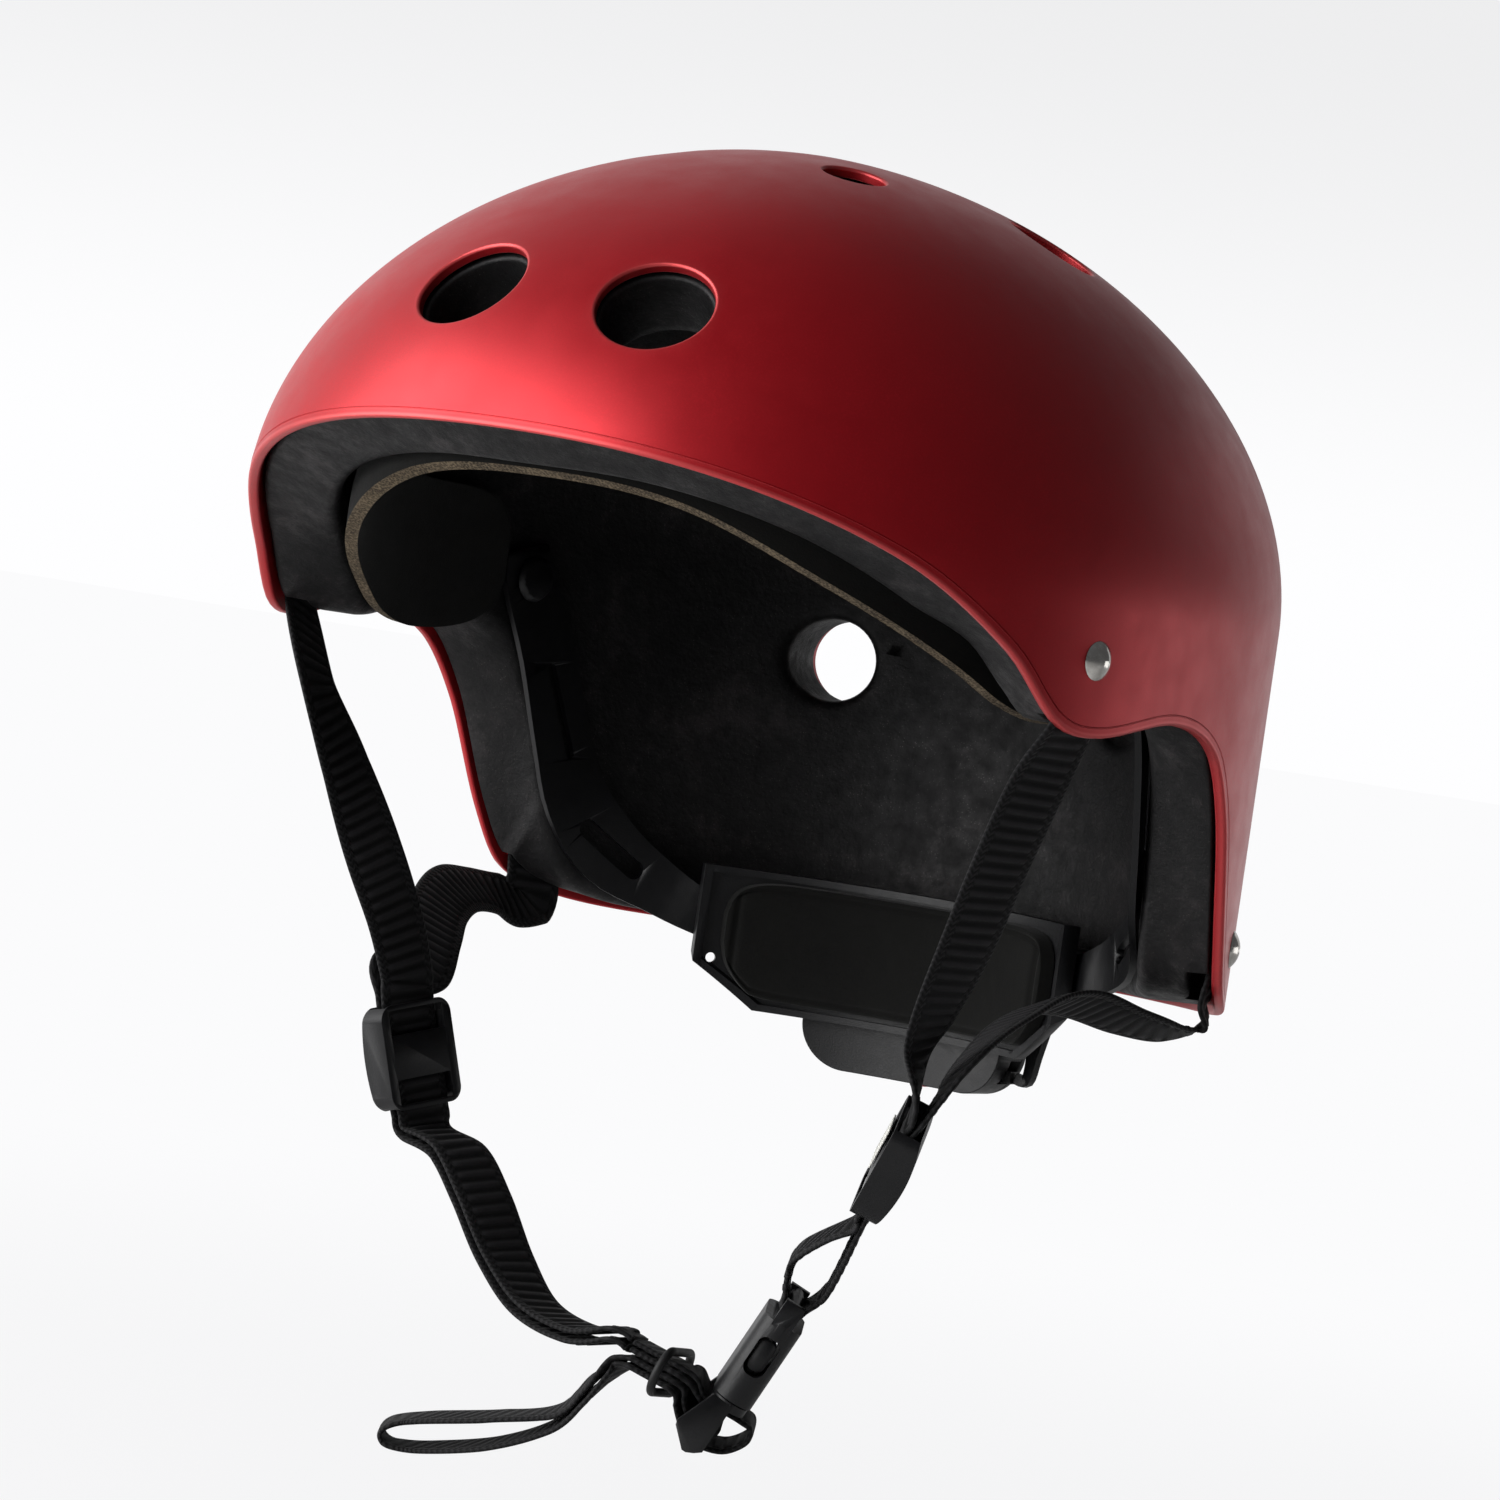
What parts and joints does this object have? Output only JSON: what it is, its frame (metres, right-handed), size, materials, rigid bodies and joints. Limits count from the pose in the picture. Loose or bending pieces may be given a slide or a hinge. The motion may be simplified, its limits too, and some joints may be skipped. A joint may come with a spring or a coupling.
{
  "type": "skate helmet",
  "caption": "Round skate helmet: red moulded shell with round vents, foam liner, pads, dial-fit nape cradle and riveted chin webbing with a side-release buckle.",
  "frame": {"origin": "middle of the head opening on the shell's centre plane, at the level where the shell is widest", "axes": "front is -Y, the wearer's left is +X, the crown is +Z"},
  "size_m": [0.215, 0.2515, 0.3004],
  "materials": {
    "shell_red": "satin metallic",
    "foam_black": "moulded foam, fine bead texture",
    "pad_fabric": "brushed knit over foam",
    "hook_tape": "hook tape",
    "webbing": "ribbed webbing",
    "rivet_metal": "polished",
    "steel": "plated",
    "black_plastic": "fine grain",
    "arm_plastic": "smooth, flexible",
    "elastic": "smooth",
    "tag_white": "plain woven",
    "pinion_natural": "acetal",
    "dial_red": "satin"
  },
  "bodies": {
    "helmet": {"outer_shell": "shell_red", "eps_liner": "foam_black", "brow_pad": "pad_fabric", "crown_pad": "pad_fabric", "pad_hook_dots": "hook_tape", "strap_rivets": "rivet_metal", "rivet_washers": "steel", "front_strap_left": "webbing", "rear_strap_left": "webbing", "chin_strap_left": "webbing", "front_strap_right": "webbing", "rear_strap_right": "webbing", "chin_strap_right": "webbing", "buckle_socket": "black_plastic", "fit_arm_left": "arm_plastic", "fit_arm_right": "arm_plastic", "arm_pins": "black_plastic"},
    "cradle": {"cradle_frame": "black_plastic", "cradle_pad": "pad_fabric", "dial_housing": "black_plastic", "housing_cover": "black_plastic", "cover_screws": "steel"},
    "dial": {"drive_pinion": "pinion_natural", "dial_knob": "dial_red", "dial_cap": "black_plastic", "dial_screw": "steel"},
    "left_rack": {"rack_left": "black_plastic"},
    "right_rack": {"rack_right": "black_plastic"},
    "buckle_half": {"buckle_insert": "black_plastic", "buckle_latch_arms": "black_plastic", "tail_strap": "webbing"},
    "keeper": {"keeper_ring": "elastic"},
    "left_divider": {"divider_left": "black_plastic", "blank_tag": "tag_white"},
    "right_divider": {"divider_right": "black_plastic"}
  },
  "joints": [
    {"name": "cradle_advance", "type": "slide", "parent": "helmet", "child": "cradle", "axis": [0, -1, 0], "range_m": [0, 0.01047], "deforming": ["fit_arm_left", "fit_arm_right"]},
    {"name": "dial_turn", "type": "hinge", "parent": "cradle", "child": "dial", "pos_m": [0, 0.11, -0.1032], "axis": [0, 1, 0], "range_deg": [0, 120]},
    {"name": "left_rack_slide", "type": "slide", "parent": "cradle", "child": "left_rack", "axis": [-1, 0, 0], "range_m": [0, 0.0127]},
    {"name": "right_rack_slide", "type": "slide", "parent": "cradle", "child": "right_rack", "axis": [1, 0, 0], "range_m": [0, 0.0127]},
    {"name": "buckle_release", "type": "slide", "parent": "helmet", "child": "buckle_half", "axis": [-0.4192, -0.1326, -0.8982], "range_m": [0, 0.028], "deforming": ["chin_strap_right", "buckle_latch_arms"]},
    {"name": "keeper_slide", "type": "slide", "parent": "buckle_half", "child": "keeper", "axis": [0.9165, 0.2499, -0.3124], "range_m": [-0.006, 0.002]},
    {"name": "left_divider_slide", "type": "slide", "parent": "helmet", "child": "left_divider", "axis": [-0.4782, 0.205, -0.854], "range_m": [0, 0.005]},
    {"name": "right_divider_slide", "type": "slide", "parent": "helmet", "child": "right_divider", "axis": [0.2401, 0.1401, -0.9606], "range_m": [0, 0.0035]}
  ],
  "couplings": [
    {"joint": "left_rack_slide", "follows": "cradle_advance", "ratio": 1.2},
    {"joint": "right_rack_slide", "follows": "cradle_advance", "ratio": 1.2},
    {"joint": "dial_turn", "follows": "cradle_advance", "rad_per_m": 200}
  ]
}
